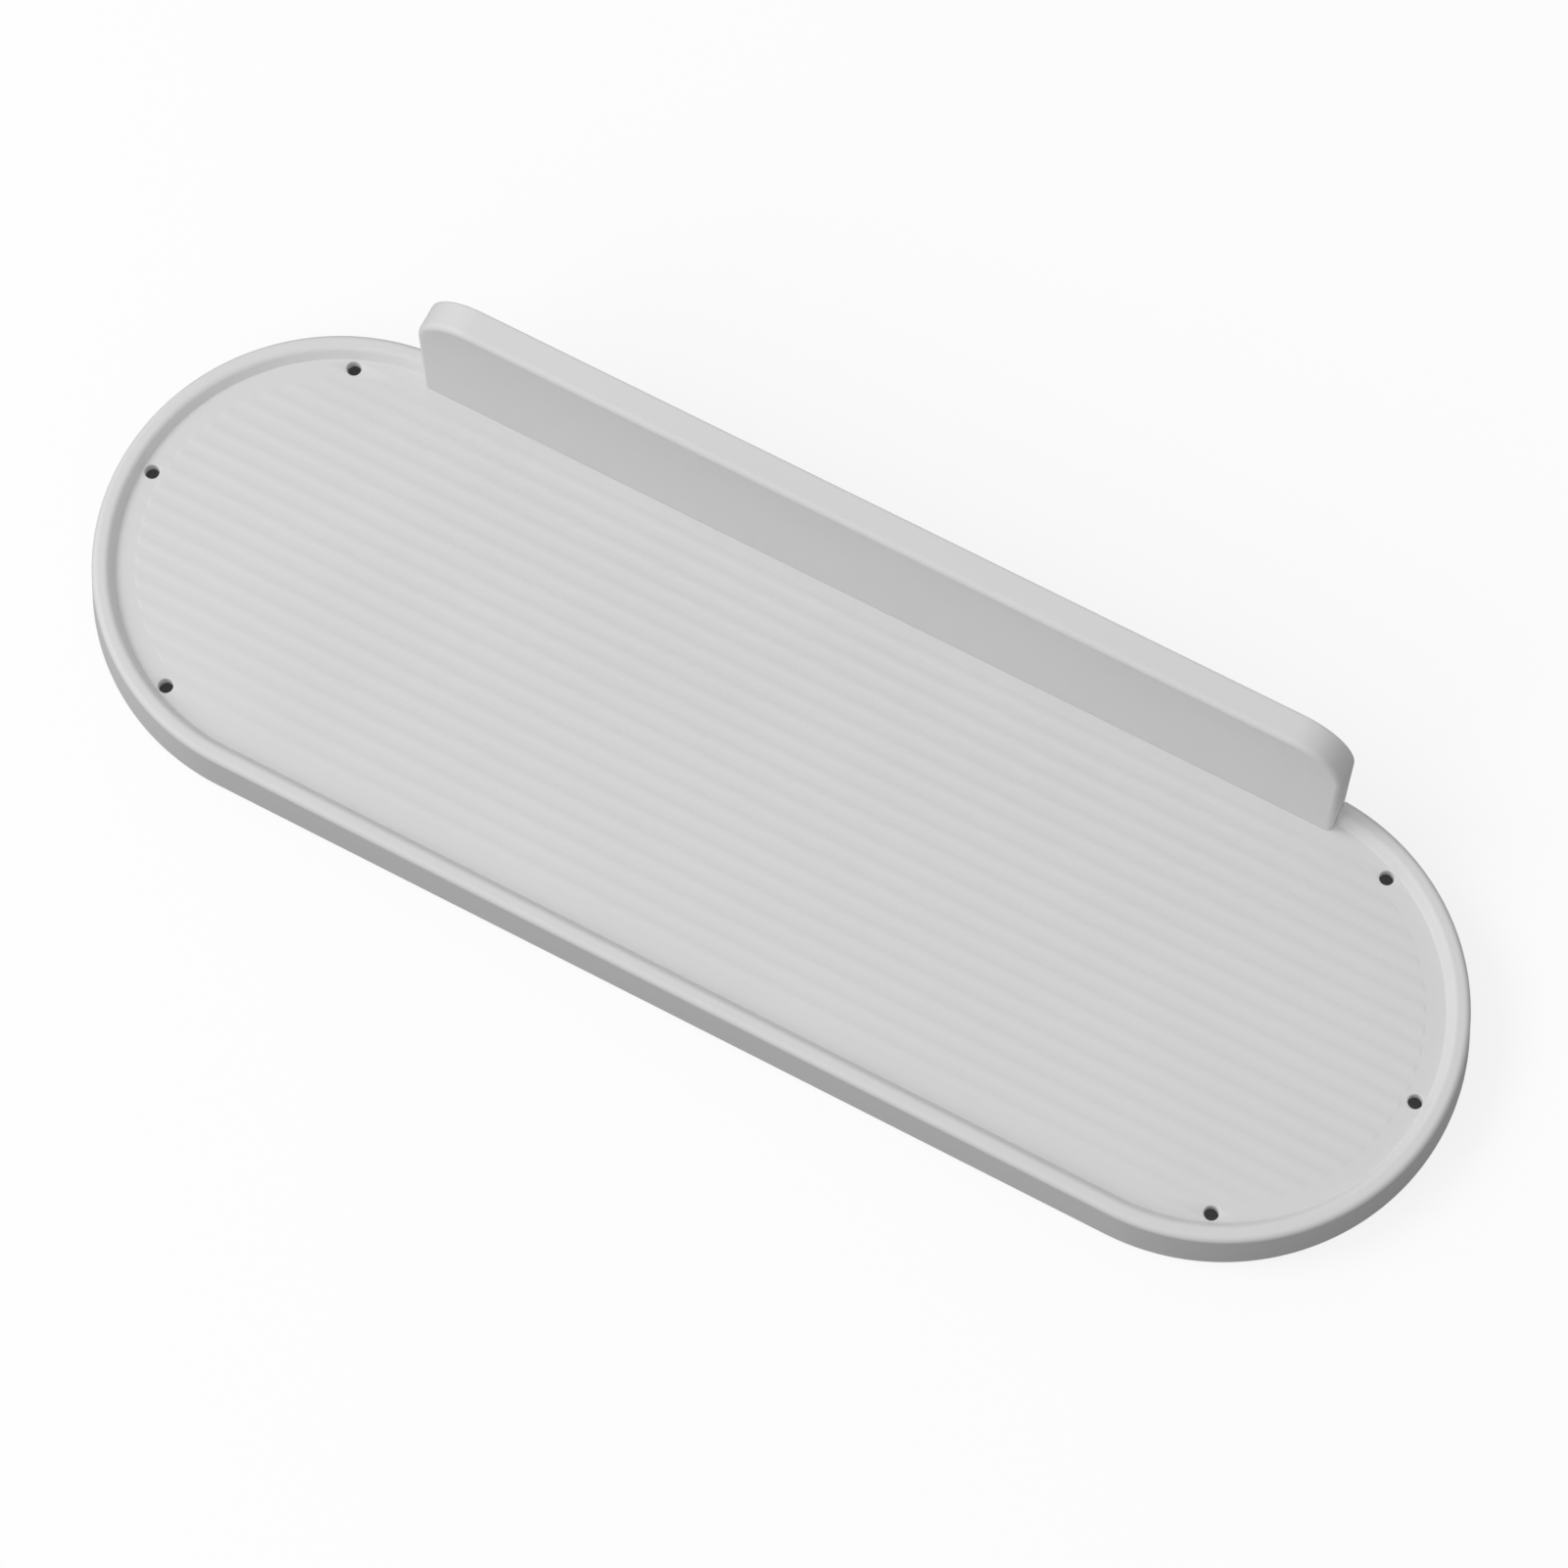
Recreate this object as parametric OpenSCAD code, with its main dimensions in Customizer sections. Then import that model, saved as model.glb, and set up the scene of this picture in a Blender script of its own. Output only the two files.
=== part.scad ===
// Wall shelf: an obround ribbed tray with an upstand that hangs on a stick-on wall plate.
// X runs along the shelf, +Y points at the wall, +Z is up.
// The origin is the middle of the wall plate, on the face of the wall.

/* [Tray] */
// Overall length of the tray
tray_l = 300; // [260:1:400]
// Overall width of the tray, which is the diameter of its round ends
tray_w = 100; // [90:1:140]
// Height of the tray from its bottom edge to the top of the rim
tray_h = 12; // [10:0.5:20]
// Thickness of the floor
floor_t = 2.5; // [2:0.1:3.5]
// Thickness of the skirt
skirt_t = 2.4; // [1.8:0.1:2.6]
// Rounding of the skirt's bottom edge
skirt_edge_r = 0.8; // [0.3:0.1:1]
// How far the skirt leans outwards from its top to its bottom edge
skirt_lean = 0.7; // [0.2:0.1:1]

/* [Rim] */
// Width of the rim, from the outside of the tray to the foot of its inner wall
rim_w = 5.5; // [4.8:0.1:5.5]
// How far the rim's inner wall leans outwards from its foot to its top
rim_lean = 1; // [0.6:0.1:1.4]
// Height of the rim above the floor
rim_h = 2.5; // [2:0.1:3.5]
// Rounding of the rim's outer edge
rim_edge_r = 1.4; // [0.4:0.1:1.6]
// Rounding of the rim's inner edge
rim_lip_r = 1.2; // [0.4:0.1:1.4]

/* [Floor ribs] */
// Distance from one rib to the next
rib_pitch = 4; // [3:0.25:6]
// Width of a rib at the floor
rib_w = 2.8; // [1.6:0.1:2.9]
// Height of a rib above the floor
rib_h = 0.2; // [0.15:0.05:0.6]
// Plain border between the tray's outside and the ends of the ribs
rib_border = 9.4; // [9:0.1:14]

/* [Drain holes] */
// Diameter of a drain hole
drain_d = 3; // [2:0.1:3.4]
// Width of the chamfer round a drain hole
drain_chamfer = 0.3; // [0.1:0.1:0.5]
// Distance from the tray's outside to the middle of a drain hole
drain_inset = 7.4; // [7.4:0.1:10]
// Angle of the outer drain holes from the tray's long axis
drain_angle = 66; // [30:1:66]

/* [Underside ribs] */
// Depth of the stiffening ribs under the floor
web_h = 2.4; // [1:0.1:4]
// Thickness of the stiffening ribs
web_t = 1.6; // [1:0.1:2.5]
// Distance between the crosswise stiffening ribs
web_pitch = 50; // [30:1:60]
// Distance from the tray's long axis to each lengthwise stiffening rib
web_y = 18; // [10:1:30]

/* [Upstand] */
// Length of the upstand
upstand_l = 206; // [196:1:240]
// Thickness of the upstand
upstand_t = 6.6; // [6.3:0.1:7.2]
// Distance from the tray's back edge to the upstand's back
upstand_inset = 1.2; // [0.9:0.1:1.6]
// Height of the upstand above the tray floor
upstand_h = 37.5; // [37:0.5:70]
// Radius of the upstand's top corners
corner_r = 12; // [6:0.5:16]
// Rounding of the upstand's front edge
front_edge_r = 1.2; // [0.4:0.1:1.8]
// Wall thickness of the upstand
upstand_wall = 2; // [1.8:0.1:2.2]
// Thickness of the upstand's foot on the tray
foot_t = 2.2; // [1.8:0.1:4]

/* [Upstand screws] */
// Diameter of the screw shank
screw_d = 2.6; // [2.2:0.1:2.8]
// Length of the screw under its head
screw_l = 10; // [9:0.5:12]
// Diameter of the screw head
head_d = 4.4; // [3.8:0.1:4.8]
// Height of the screw head
head_h = 1.8; // [1.4:0.1:2.4]
// Distance from the tray's back edge to the screws
screw_inset = 4.9; // [4.8:0.1:5]
// Distance from the middle to the inner pair of screws
screw_x_inner = 26; // [20:1:34]
// Distance from the middle to the outer pair of screws
screw_x_outer = 88; // [82:1:94]
// Diameter of the screw bosses in the upstand
boss_d = 5; // [4.6:0.1:5.2]
// Diameter of the screw pads under the tray
pad_d = 7.6; // [6.4:0.1:9]
// Height of the screw pads under the tray
pad_h = 1.5; // [0.5:0.1:2.5]

/* [Wall plate] */
// Length of the wall plate
plate_l = 150; // [140:1:156]
// Height of the wall plate
plate_h = 14; // [13.5:0.5:15]
// Thickness of the wall plate
plate_t = 2; // [1.8:0.1:2.2]
// Radius of the wall plate's corners
plate_corner_r = 3; // [1:0.5:6]
// Distance from the middle to each tongue
tongue_x = 52; // [46:1:60]
// Width of a tongue's head
tongue_head_w = 16; // [13:0.5:20]
// Thickness of a tongue's head
tongue_head_t = 1.6; // [1.2:0.1:1.8]
// Width of a tongue's neck
tongue_neck_w = 9; // [6:0.5:10]
// Height of a tongue
tongue_h = 9; // [7:0.5:10]
// Radius of a tongue's top corners
tongue_corner_r = 2.5; // [0.5:0.5:4]
// Wall thickness of the pockets that hold the tongues
pocket_wall = 1.8; // [1.2:0.1:3]

/* [Adhesive pads] */
// Length of an adhesive pad
adhesive_l = 36; // [30:1:44]
// Height of an adhesive pad
adhesive_h = 8; // [6:0.5:8]
// Thickness of an adhesive pad
adhesive_t = 1; // [0.8:0.1:1.2]
// Radius of an adhesive pad's corners
adhesive_corner_r = 2; // [0.5:0.5:2.5]
// Distance from the wall plate's ends to the outer adhesive pads
adhesive_end = 5; // [2:0.5:8]

/* [Clearances] */
// Gap between the shelf's back and the wall
wall_gap = 0.6; // [0.3:0.1:0.7]
// Gap round the tongues where the shelf slides on them
slide_gap = 0.3; // [0.2:0.05:0.35]
// Gap between the top of a tongue and the pocket that rests on it
rest_gap = 0.1; // [0.05:0.05:0.3]
// Gap between the upstand's ends and the rim
seat_gap = 0.15; // [0.1:0.05:0.5]
// Gap all round a screw in the tray
screw_gap = 0.2; // [0.1:0.05:0.4]
// Gap all round a screw in its boss, where its thread bites
thread_gap = 0.05; // [0.02:0.01:0.1]
// Free height above the wall plate inside the upstand
top_gap = 0.6; // [0.4:0.1:2]

/* [Hidden] */
$fn = 64;

// Every cut runs this far past the face it opens
over = 1;
shelf_grey = [0.82, 0.82, 0.82];
plate_white = [0.92, 0.92, 0.92];
adhesive_white = [0.78, 0.80, 0.80];
screw_steel = [0.62, 0.62, 0.64];

// Plan of the tray
end_r = tray_w / 2;
straight_l = tray_l - tray_w;
tray_y = -wall_gap - end_r;
rib_field_r = end_r - rib_border;
rib_circle_r = (rib_h * rib_h + rib_w * rib_w / 4) / (2 * rib_h);
rib_rows = floor((rib_field_r - rib_w / 2) / rib_pitch + 1 / 2);
drain_circle_r = end_r - drain_inset;

// Depths behind and inside the upstand, from the wall forwards
back_y = -wall_gap - upstand_inset;
front_y = back_y - upstand_t;
cavity_y = front_y + upstand_wall;
plate_back_y = -adhesive_t;
plate_front_y = plate_back_y - plate_t;
tongue_front_y = cavity_y + slide_gap;
lip_front_y = tongue_front_y + tongue_head_t + slide_gap;
lip_back_y = plate_front_y - slide_gap;

// Heights, worked down from the wall plate to the tray
cavity_top_z = plate_h / 2 + top_gap;
upstand_top_z = cavity_top_z + upstand_wall;
floor_z = upstand_top_z - upstand_h;
rim_z = floor_z + rim_h;
floor_under_z = floor_z - floor_t;
bottom_z = rim_z - tray_h;

// Middle of the rounding between the rim's leaning inner wall and its top
lean_angle = atan2(rim_h, rim_lean);
rim_foot_r = end_r - rim_w;
lip_z = rim_z - rim_lip_r;
lip_r = rim_foot_r + (lip_z - floor_z) * rim_lean / rim_h + rim_lip_r / sin(lean_angle);

// Middles of the roundings at the top and the bottom of the leaning skirt
skirt_angle = atan2(skirt_lean, tray_h);
brow_r = end_r - skirt_lean;
brow_z = rim_z - rim_edge_r;
brow_middle_r = brow_r - rim_edge_r * (1 - sin(skirt_angle)) / cos(skirt_angle);
heel_z = bottom_z + skirt_edge_r;
heel_middle_r = end_r - skirt_edge_r * (1 + sin(skirt_angle)) / cos(skirt_angle);

// Heights of the screws and the pockets
screw_seat_z = floor_under_z - pad_h;
screw_tip_z = screw_seat_z + screw_l;
pilot_top_z = screw_tip_z + screw_d / 2;
boss_top_z = pilot_top_z + screw_d / 2;
pocket_roof_z = tongue_h / 2 + rest_gap;

// Places that repeat
screw_xs = [-screw_x_outer, -screw_x_inner, screw_x_inner, screw_x_outer];
screw_y = -wall_gap - screw_inset;
tongue_xs = [-tongue_x, tongue_x];
adhesive_x = plate_l / 2 - adhesive_end - adhesive_l / 2;

// What a rounding of radius r takes off a square corner at the origin
module corner_sliver(r) {
    difference() {
        square(r);
        translate([r, r]) circle(r);
    }
}

// Rectangle with four round corners, centred on the origin
module round_plate_2d(l, h, r) {
    square([l - 2 * r, h], center = true);
    square([l, h - 2 * r], center = true);
    for (sx = [-1, 1], sy = [-1, 1])
        translate([sx * (l / 2 - r), sy * (h / 2 - r)]) circle(r);
}

// Rectangle with round top corners, standing on the origin
module arch_2d(l, h, r) {
    translate([-l / 2, 0]) square([l, h - r]);
    translate([r - l / 2, 0]) square([l - 2 * r, h]);
    for (sx = [-1, 1])
        translate([sx * (l / 2 - r), h - r]) circle(r);
}

// Plan with straight sides and two round ends of radius r about the tray's end centres
module obround_2d(r) {
    square([straight_l, 2 * r], center = true);
    for (sx = [-1, 1])
        translate([sx * straight_l / 2, 0]) circle(r);
}

// Sweeps a section round the tray: x is the distance from the long axis, y the height
module obround_sweep() {
    for (turn = [0, 180])
        rotate(turn) {
            translate([straight_l / 2, 0, 0]) rotate(-90) rotate_extrude(angle = 180) children();
            translate([-straight_l / 2, 0, 0]) rotate([90, 0, 90]) linear_extrude(straight_l) children();
        }
}

// What a rounding about a middle takes off the corner between the two faces it touches
module edge_sliver(middle, first_touch, corner, last_touch, r) {
    difference() {
        polygon([middle, first_touch, corner, last_touch]);
        translate(middle) circle(r);
    }
}

// Rounding between the rim's inner wall and its top
module lip_sliver() {
    wall_touch = [lip_r - rim_lip_r * sin(lean_angle), lip_z + rim_lip_r * cos(lean_angle)];
    edge_sliver([lip_r, lip_z], wall_touch, [rim_foot_r + rim_lean, rim_z], [lip_r, rim_z], rim_lip_r);
}

// Rounding between the rim's top and the skirt
module brow_sliver() {
    skirt_touch = [brow_middle_r + rim_edge_r * cos(skirt_angle), brow_z + rim_edge_r * sin(skirt_angle)];
    edge_sliver([brow_middle_r, brow_z], [brow_middle_r, rim_z], [brow_r, rim_z], skirt_touch, rim_edge_r);
}

// Rounding between the skirt and its bottom edge
module heel_sliver() {
    skirt_touch = [heel_middle_r + skirt_edge_r * cos(skirt_angle), heel_z + skirt_edge_r * sin(skirt_angle)];
    foot_touch = [heel_middle_r, bottom_z];
    edge_sliver([heel_middle_r, heel_z], skirt_touch, [end_r, bottom_z], foot_touch, skirt_edge_r);
}

// Half the tray's cross section: floor, rim and skirt
module tray_section() {
    difference() {
        translate([0, bottom_z]) square([end_r, tray_h]);
        polygon([[0, floor_z], [rim_foot_r, floor_z], [rim_foot_r + rim_lean, rim_z],
            [rim_foot_r + rim_lean, rim_z + over], [0, rim_z + over]]);
        lip_sliver();
        translate([0, bottom_z - over]) square([end_r - skirt_t, floor_under_z - bottom_z + over]);
        polygon([[end_r, bottom_z], [end_r + over, bottom_z], [end_r + over, rim_z + over],
            [brow_r, rim_z + over], [brow_r, rim_z]]);
        brow_sliver();
        heel_sliver();
    }
}

// Low round-topped ribs along the floor, cut off by an obround border
module floor_ribs() {
    intersection() {
        translate([0, 0, floor_z - rib_h]) linear_extrude(2 * rib_h + over) obround_2d(rib_field_r);
        for (row = [0 : rib_rows - 1], side = [-1, 1])
            translate([0, side * (row + 1 / 2) * rib_pitch, floor_z + rib_h - rib_circle_r])
                rotate([0, 90, 0]) cylinder(r = rib_circle_r, h = tray_l, center = true);
    }
}

// Grid of stiffening ribs under the floor, running into the skirt
module underside_ribs() {
    half_columns = floor(straight_l / 2 / web_pitch);
    translate([0, 0, floor_under_z])
        intersection() {
            translate([0, 0, -web_h]) linear_extrude(web_h + floor_t / 2) obround_2d(end_r - skirt_t / 2);
            union() {
                for (side = [-1, 1])
                    translate([0, side * web_y, 0]) cube([tray_l, web_t, 2 * web_h], center = true);
                for (column = [-half_columns : half_columns])
                    translate([column * web_pitch, 0, 0]) cube([web_t, tray_w, 2 * web_h], center = true);
            }
        }
}

// Three chamfered holes through the floor at each round end
module drain_holes() {
    mouth_d = drain_d + 2 * drain_chamfer;
    for (turn = [0, 180], angle = [-drain_angle, 0, drain_angle])
        rotate(turn) translate([straight_l / 2, 0, 0]) rotate(angle) translate([drain_circle_r, 0, 0]) {
            translate([0, 0, floor_under_z - over]) cylinder(d = drain_d, h = floor_t + 2 * over);
            translate([0, 0, floor_z - drain_chamfer])
                cylinder(d1 = drain_d, d2 = mouth_d + 2 * over, h = drain_chamfer + over);
        }
}

// Ribbed tray, with its rim cut away where the upstand stands
module tray() {
    color(shelf_grey) difference() {
        union() {
            translate([0, tray_y, 0]) {
                obround_sweep() tray_section();
                floor_ribs();
                underside_ribs();
            }
            for (x = screw_xs)
                translate([x, screw_y, screw_seat_z]) cylinder(d = pad_d, h = pad_h + floor_t / 2);
        }
        translate([0, tray_y, 0]) drain_holes();
        translate([-upstand_l / 2 - seat_gap, front_y, floor_z])
            cube([upstand_l + 2 * seat_gap, upstand_t + upstand_inset + over, rim_h + over]);
        for (x = screw_xs)
            translate([x, screw_y, screw_seat_z - over])
                cylinder(d = screw_d + 2 * screw_gap, h = pad_h + floor_t + 2 * over);
    }
}

// Section of the upstand outside its corner centre, with the front edge rounded
module upstand_section() {
    difference() {
        square([corner_r, upstand_t]);
        translate([corner_r, upstand_t]) rotate(180) corner_sliver(front_edge_r);
    }
}

// Solid slab of the upstand: the section swept up one end, over the top and down the other end
module upstand_slab() {
    corner_x = upstand_l / 2 - corner_r;
    side_h = upstand_h - corner_r;
    translate([0, back_y, upstand_top_z - corner_r]) {
        for (side = [0, 1])
            mirror([side, 0, 0]) translate([corner_x, 0, 0]) {
                rotate([90, 0, 0]) rotate_extrude(angle = 90) upstand_section();
                rotate([180, 0, 0]) linear_extrude(side_h) upstand_section();
            }
        translate([-corner_x, 0, 0]) rotate([0, -90, 180]) linear_extrude(2 * corner_x) upstand_section();
        translate([-corner_x, -upstand_t, -side_h]) cube([2 * corner_x, upstand_t, side_h]);
    }
}

// Hollow of the upstand, open towards the wall
module upstand_cavity() {
    cavity_h = upstand_h - upstand_wall - foot_t;
    translate([0, back_y + over, floor_z + foot_t]) rotate([90, 0, 0])
        linear_extrude(back_y + over - cavity_y)
            arch_2d(upstand_l - 2 * upstand_wall, cavity_h, corner_r - upstand_wall);
}

// Pocket for one tongue: two walls with lips behind the tongue's head, under a closed roof
module tongue_pocket() {
    inside_w = tongue_head_w + 2 * slide_gap;
    outside_w = inside_w + 2 * pocket_wall;
    mouth_w = tongue_neck_w + 2 * slide_gap;
    pocket_d = lip_back_y - cavity_y;
    bottom = -tongue_h / 2;
    difference() {
        translate([-outside_w / 2, cavity_y - upstand_wall / 2, bottom])
            cube([outside_w, pocket_d + upstand_wall / 2, cavity_top_z + upstand_wall / 2 - bottom]);
        translate([-inside_w / 2, cavity_y, bottom - over])
            cube([inside_w, lip_front_y - cavity_y, pocket_roof_z - bottom + over]);
        translate([-mouth_w / 2, cavity_y, bottom - over])
            cube([mouth_w, pocket_d + over, pocket_roof_z - bottom + over]);
    }
}

// Hollow upstand with screw bosses at its foot and two hanging pockets near its top
module upstand() {
    color(shelf_grey) difference() {
        union() {
            difference() {
                upstand_slab();
                upstand_cavity();
            }
            for (x = screw_xs)
                translate([x, screw_y, floor_z]) cylinder(d = boss_d, h = boss_top_z - floor_z);
            for (x = tongue_xs)
                translate([x, 0, 0]) tongue_pocket();
        }
        for (x = screw_xs)
            translate([x, screw_y, floor_z - over])
                cylinder(d = screw_d + 2 * thread_gap, h = pilot_top_z - floor_z + over);
    }
}

// Pan head screw with a cross recess, its seat at the origin and its tip upwards
module screw() {
    tip_h = screw_d / 2;
    recess_w = head_d / 6;
    recess_l = head_d * 0.6;
    recess_h = head_h / 2;
    dome_r = (head_h * head_h + head_d * head_d / 4) / (2 * head_h);
    cylinder(d = screw_d, h = screw_l - tip_h);
    translate([0, 0, screw_l - tip_h]) cylinder(d1 = screw_d, d2 = screw_d / 4, h = tip_h);
    difference() {
        rotate_extrude() intersection() {
            translate([0, dome_r - head_h]) circle(dome_r);
            translate([0, -head_h]) square([head_d / 2, head_h]);
        }
        for (turn = [0, 90])
            rotate(turn) translate([-recess_l / 2, -recess_w / 2, -head_h - over])
                cube([recess_l, recess_w, recess_h + over]);
    }
}

// Screws that hold the upstand down, driven from under the tray
module upstand_screws() {
    color(screw_steel)
        for (x = screw_xs)
            translate([x, screw_y, screw_seat_z]) screw();
}

// Tongue with a T shaped plan that stands out from the wall plate
module tongue() {
    translate([-tongue_neck_w / 2, tongue_front_y + tongue_head_t / 2, -tongue_h / 2])
        cube([tongue_neck_w, plate_front_y + plate_t / 2 - tongue_front_y - tongue_head_t / 2, tongue_h]);
    translate([0, tongue_front_y + tongue_head_t, -tongue_h / 2]) rotate([90, 0, 0])
        linear_extrude(tongue_head_t) arch_2d(tongue_head_w, tongue_h, tongue_corner_r);
}

// Wall plate with the tongues that carry the shelf
module wall_plate() {
    color(plate_white) {
        translate([0, plate_back_y, 0]) rotate([90, 0, 0])
            linear_extrude(plate_t) round_plate_2d(plate_l, plate_h, plate_corner_r);
        for (x = tongue_xs)
            translate([x, 0, 0]) tongue();
    }
}

// Adhesive pad between the wall and the wall plate
module adhesive_pad(x) {
    color(adhesive_white) translate([x, 0, 0]) rotate([90, 0, 0])
        linear_extrude(adhesive_t) round_plate_2d(adhesive_l, adhesive_h, adhesive_corner_r);
}

module adhesive_pad_left() { adhesive_pad(-adhesive_x); }
module adhesive_pad_middle() { adhesive_pad(0); }
module adhesive_pad_right() { adhesive_pad(adhesive_x); }

tray();
upstand();
upstand_screws();
wall_plate();
adhesive_pad_left();
adhesive_pad_middle();
adhesive_pad_right();
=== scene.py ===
"""Looks of a wall shelf: an obround ribbed tray whose upstand hangs on a stick-on wall plate.

Lengths are in metres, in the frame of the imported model: X runs along the shelf, +Y points at
the wall and +Z is up.
"""

from math import asin, atan2, cos, degrees, pi, radians, sin, sqrt, tan

import bmesh
import bpy
from bpy.props import FloatProperty, FloatVectorProperty, PointerProperty
from bpy.types import Node, NodeSocket, Object, Operator, Panel, PropertyGroup
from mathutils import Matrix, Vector


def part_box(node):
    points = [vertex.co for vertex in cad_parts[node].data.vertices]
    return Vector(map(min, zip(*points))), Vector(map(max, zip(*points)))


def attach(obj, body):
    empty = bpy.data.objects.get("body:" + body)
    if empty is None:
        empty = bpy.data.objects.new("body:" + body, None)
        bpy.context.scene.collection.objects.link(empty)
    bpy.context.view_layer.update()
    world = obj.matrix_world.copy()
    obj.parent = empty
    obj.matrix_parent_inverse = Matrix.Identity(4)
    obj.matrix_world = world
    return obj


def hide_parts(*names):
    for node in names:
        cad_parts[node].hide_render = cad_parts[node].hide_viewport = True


bl_info = {
    "name": "Wall shelf",
    "version": (1, 0, 0),
    "blender": (4, 5, 0),
    "location": "3D View > Sidebar > Shelf",
    "description": "Builds a ribbed wall shelf with its upstand, screws, plate and pads",
    "category": "Object",
}

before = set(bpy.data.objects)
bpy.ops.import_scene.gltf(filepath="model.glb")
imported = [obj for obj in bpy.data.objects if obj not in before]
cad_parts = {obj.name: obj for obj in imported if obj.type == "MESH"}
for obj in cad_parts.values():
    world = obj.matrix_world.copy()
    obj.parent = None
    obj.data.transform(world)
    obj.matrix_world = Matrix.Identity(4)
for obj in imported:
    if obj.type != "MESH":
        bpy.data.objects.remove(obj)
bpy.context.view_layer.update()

# Boxes of the solids, which set the pieces' places and main sizes
TRAY_LOW, TRAY_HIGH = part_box("tray")
UPSTAND_LOW, UPSTAND_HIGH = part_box("upstand")
SCREWS_LOW, SCREWS_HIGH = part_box("upstand_screws")
PLATE_LOW, PLATE_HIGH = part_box("wall_plate")
PAD_LOW, PAD_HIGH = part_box("adhesive_pad_right")

TRAY_MID_Y = (TRAY_LOW.y + TRAY_HIGH.y) / 2
RIM_Z = TRAY_HIGH.z
BOTTOM_Z = TRAY_LOW.z
FLOOR_Z = UPSTAND_LOW.z
FRONT_Y = UPSTAND_LOW.y
BACK_Y = UPSTAND_HIGH.y

MM = 0.001
# Flat faces keep a narrow strip of their own beside a rounding, so that they shade flat
STRIP = 0.15 * MM
# Cuts run this far past the face they open
OVER = 1.0 * MM
# Solids that are joined overlap, and never share a face, by this much
HAIR = 0.02 * MM
SMOOTH_ANGLE = radians(32.0)
# Rounding of small edges and of a pocket's edges
SMALL_EDGE = 0.2 * MM
POCKET_EDGE = 0.25 * MM
# Play of a screw in its hole and in its boss, and the plain length under its head
SCREW_PLAY = 0.2 * MM
PILOT_PLAY = 0.05 * MM
PLAIN_SHANK = 0.5 * MM
# Gap over a tongue at rest
REST_GAP = 0.1 * MM
# Inputs of a tree that place the screws
SCREW_ROW = ("Inner screws", "Outer screws", "Screw line")
# Inputs of the tray's tree that are the tray's own sizes
TRAY_LENGTHS = ("Rib pitch", "Rib width", "Rib height", "Rib taper", "Drain angle", "Web pitch",
                "Web offset")
SCREW_LINE_Y = (SCREWS_LOW.y + SCREWS_HIGH.y) / 2
# The stage's floor lies just under the part
STAGE_GAP = 0.2 * MM
STAGE_RADIUS = 4.0
# Reach of the ambient occlusion that paints shade on the stage's floor, and its open shares at
# which that painted shade is full and at which it is gone
AO_SHADE_REACH = 25.0 * MM
AO_FULL_SHADE, AO_NO_SHADE = 0.12, 0.8
WHITE = (1.0, 1.0, 1.0, 1.0)


def length(name, millimetres, description):
    """A size of the part that a user may change."""
    return FloatProperty(
        name=name, description=description, default=millimetres * MM, min=0.0, precision=5,
        subtype="DISTANCE", unit="LENGTH")


def factor(name, default, description):
    """A plain share or level."""
    return FloatProperty(name=name, description=description, default=default, min=0.0, precision=3)


def colour(name, default, description):
    """A colour of the part, in linear values."""
    return FloatVectorProperty(
        name=name, description=description, default=default, size=3, min=0.0, max=1.0,
        subtype="COLOR")


def angle(name, degrees, description):
    """A turn that a user may change."""
    return FloatProperty(
        name=name, description=description, default=radians(degrees), subtype="ANGLE",
        unit="ROTATION")


class ShelfTraySizes(PropertyGroup):
    """Sizes of the tray."""

    length: length("Length", (TRAY_HIGH.x - TRAY_LOW.x) / MM, "Overall length")
    width: length("Width", (TRAY_HIGH.y - TRAY_LOW.y) / MM, "Width and diameter of the ends")
    floor: length("Floor", 2.5, "Thickness of the floor")
    skirt: length("Skirt", 2.4, "Thickness of the skirt")
    skirt_edge: length("Skirt edge", 0.3, "Rounding of the skirt's bottom edge")
    skirt_lean: length("Skirt lean", 1.0, "How far the skirt leans outwards")
    rim: length("Rim", 5.5, "Width of the rim at its foot")
    rim_lean: length("Rim lean", 1.4, "How far its inner wall leans outwards")
    rim_edge: length("Rim edge", 1.4, "Rounding of its outer edge")
    rim_lip: length("Rim lip", 1.4, "Rounding of its inner edge")
    rim_foot: length("Rim foot", 0.3, "Fillet at the foot of the inner wall")
    rib_pitch: length("Rib pitch", 4.0, "From one rib to the next")
    rib_width: length("Rib width", 3.4, "Width of a rib at the floor")
    rib_height: length("Rib height", 0.14, "Height of a rib above the floor")
    rib_border: length("Rib border", 9.4, "From the outside to the ends of the ribs")
    rib_taper: length("Rib taper", 0.8, "Length of a rib's run out")
    drain: length("Drain hole", 3.0, "Diameter of a drain hole")
    drain_mouth: length("Drain mouth", 0.3, "Rounding of a drain hole's mouth")
    drain_inset: length("Drain inset", 7.4, "From the outside to a drain hole")
    drain_angle: angle("Drain angle", 66.0, "From the long axis to the outer holes")
    web_depth: length("Web depth", 2.4, "Depth of the stiffening ribs")
    web: length("Web", 1.6, "Thickness of those ribs")
    web_pitch: length("Web pitch", 50.0, "Distance between the cross ribs")
    web_offset: length("Web offset", 18.0, "From the long axis to a long rib")
    seat_gap: length("Seat gap", 0.05, "Gap at the upstand's ends")


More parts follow.
